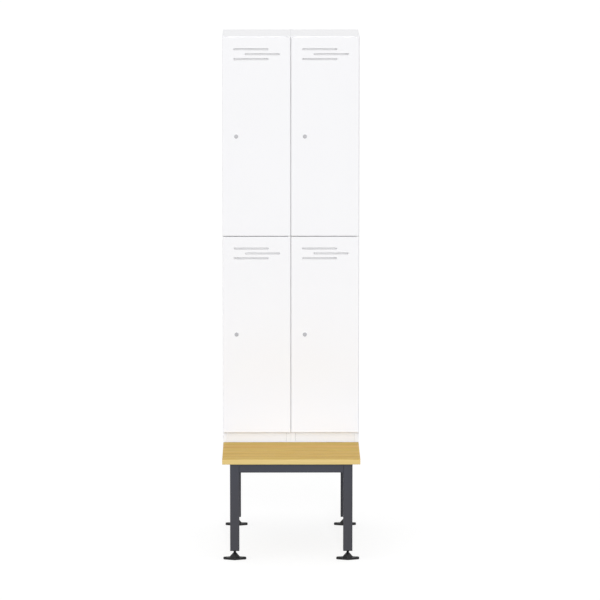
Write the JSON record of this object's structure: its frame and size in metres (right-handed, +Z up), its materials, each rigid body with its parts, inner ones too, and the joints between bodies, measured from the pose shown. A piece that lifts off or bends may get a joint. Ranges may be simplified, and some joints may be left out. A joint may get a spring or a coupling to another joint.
{
  "type": "mudroom locker unit",
  "caption": "Tall white steel clothes locker with slotted lockable doors in two tiers, standing on a dark tube bench with a slatted wooden seat in front and adjustable feet.",
  "frame": {"origin": "on the floor under the middle of the unit's width and depth", "axes": "+Z up, -Y to the front where the seat is, +X to the right seen from the front"},
  "size_m": [0.6, 0.806, 2.2418],
  "materials": {
    "white_coat": "white powder coat, fine grain, satin",
    "anthracite_coat": "anthracite powder coat, fine grain, satin",
    "seat_wood": "clear lacquered light wood",
    "black_plastic": "moulded, fine texture",
    "zinc_steel": "bright zinc plate",
    "lock_metal": "satin nickel plate",
    "pale_nylon": "natural nylon"
  },
  "bodies": {
    "locker": {"top_panel_left": "white_coat", "divider_shelf_left": "white_coat", "floor_panel_left": "white_coat", "back_panel_left": "white_coat", "plinth_panel_left": "white_coat", "top_panel_right": "white_coat", "divider_shelf_right": "white_coat", "floor_panel_right": "white_coat", "back_panel_right": "white_coat", "plinth_panel_right": "white_coat", "side_panel_left_outer": "white_coat", "side_panel_left_inner": "white_coat", "side_panel_right_inner": "white_coat", "side_panel_right_outer": "white_coat", "hinge_tabs": "white_coat", "hinge_pins": "zinc_steel", "coat_rails": "zinc_steel", "coat_rail_sockets": "black_plastic", "locker_bolts": "zinc_steel", "leg_front_left": "anthracite_coat", "leg_front_right": "anthracite_coat", "leg_rear_left": "anthracite_coat", "leg_rear_right": "anthracite_coat", "rail_front": "anthracite_coat", "rail_rear": "anthracite_coat", "rail_left": "anthracite_coat", "rail_right": "anthracite_coat", "rail_middle": "anthracite_coat", "leg_inserts": "black_plastic", "seat_slat_1": "seat_wood", "seat_slat_2": "seat_wood", "seat_slat_3": "seat_wood", "seat_slat_4": "seat_wood", "seat_slat_5": "seat_wood", "seat_slat_6": "seat_wood", "slat_screws": "zinc_steel"},
    "door_lower_left": {"door_panel_lower_left": "white_coat", "door_stiffener_lower_left": "white_coat", "hinge_bushes_lower_left": "pale_nylon", "lock_barrel_lower_left": "lock_metal"},
    "lock_lower_left": {"lock_cylinder_lower_left": "lock_metal"},
    "door_lower_right": {"door_panel_lower_right": "white_coat", "door_stiffener_lower_right": "white_coat", "hinge_bushes_lower_right": "pale_nylon", "lock_barrel_lower_right": "lock_metal"},
    "lock_lower_right": {"lock_cylinder_lower_right": "lock_metal"},
    "door_upper_left": {"door_panel_upper_left": "white_coat", "door_stiffener_upper_left": "white_coat", "hinge_bushes_upper_left": "pale_nylon", "lock_barrel_upper_left": "lock_metal"},
    "lock_upper_left": {"lock_cylinder_upper_left": "lock_metal"},
    "door_upper_right": {"door_panel_upper_right": "white_coat", "door_stiffener_upper_right": "white_coat", "hinge_bushes_upper_right": "pale_nylon", "lock_barrel_upper_right": "lock_metal"},
    "lock_upper_right": {"lock_cylinder_upper_right": "lock_metal"},
    "foot_front_left": {"foot_front_left": "black_plastic"},
    "foot_front_right": {"foot_front_right": "black_plastic"},
    "foot_rear_left": {"foot_rear_left": "black_plastic"},
    "foot_rear_right": {"foot_rear_right": "black_plastic"}
  },
  "joints": [
    {"name": "door_swing_lower_left", "type": "hinge", "parent": "locker", "child": "door_lower_left", "pos_m": [-0.007, 0.00725, 0.9265], "axis": [0, 0, 1], "range_deg": [0, 95]},
    {"name": "lock_turn_lower_left", "type": "hinge", "parent": "door_lower_left", "child": "lock_lower_left", "pos_m": [-0.23925, 0.001, 0.92912], "axis": [0, -1, 0], "range_deg": [0, 90]},
    {"name": "door_swing_lower_right", "type": "hinge", "parent": "locker", "child": "door_lower_right", "pos_m": [0.293, 0.00725, 0.9265], "axis": [0, 0, 1], "range_deg": [0, 95]},
    {"name": "lock_turn_lower_right", "type": "hinge", "parent": "door_lower_right", "child": "lock_lower_right", "pos_m": [0.06075, 0.001, 0.92912], "axis": [0, -1, 0], "range_deg": [0, 90]},
    {"name": "door_swing_upper_left", "type": "hinge", "parent": "locker", "child": "door_upper_left", "pos_m": [-0.007, 0.00725, 1.8015], "axis": [0, 0, 1], "range_deg": [0, 95]},
    {"name": "lock_turn_upper_left", "type": "hinge", "parent": "door_upper_left", "child": "lock_upper_left", "pos_m": [-0.23925, 0.001, 1.80412], "axis": [0, -1, 0], "range_deg": [0, 90]},
    {"name": "door_swing_upper_right", "type": "hinge", "parent": "locker", "child": "door_upper_right", "pos_m": [0.293, 0.00725, 1.8015], "axis": [0, 0, 1], "range_deg": [0, 95]},
    {"name": "lock_turn_upper_right", "type": "hinge", "parent": "door_upper_right", "child": "lock_upper_right", "pos_m": [0.06075, 0.001, 1.80412], "axis": [0, -1, 0], "range_deg": [0, 90]},
    {"name": "foot_adjust_front_left", "type": "slide", "parent": "locker", "child": "foot_front_left", "axis": [0, 0, 1], "range_m": [-0.02, 0.006]},
    {"name": "foot_adjust_front_right", "type": "slide", "parent": "locker", "child": "foot_front_right", "axis": [0, 0, 1], "range_m": [-0.02, 0.006]},
    {"name": "foot_adjust_rear_left", "type": "slide", "parent": "locker", "child": "foot_rear_left", "axis": [0, 0, 1], "range_m": [-0.02, 0.006]},
    {"name": "foot_adjust_rear_right", "type": "slide", "parent": "locker", "child": "foot_rear_right", "axis": [0, 0, 1], "range_m": [-0.02, 0.006]}
  ]
}
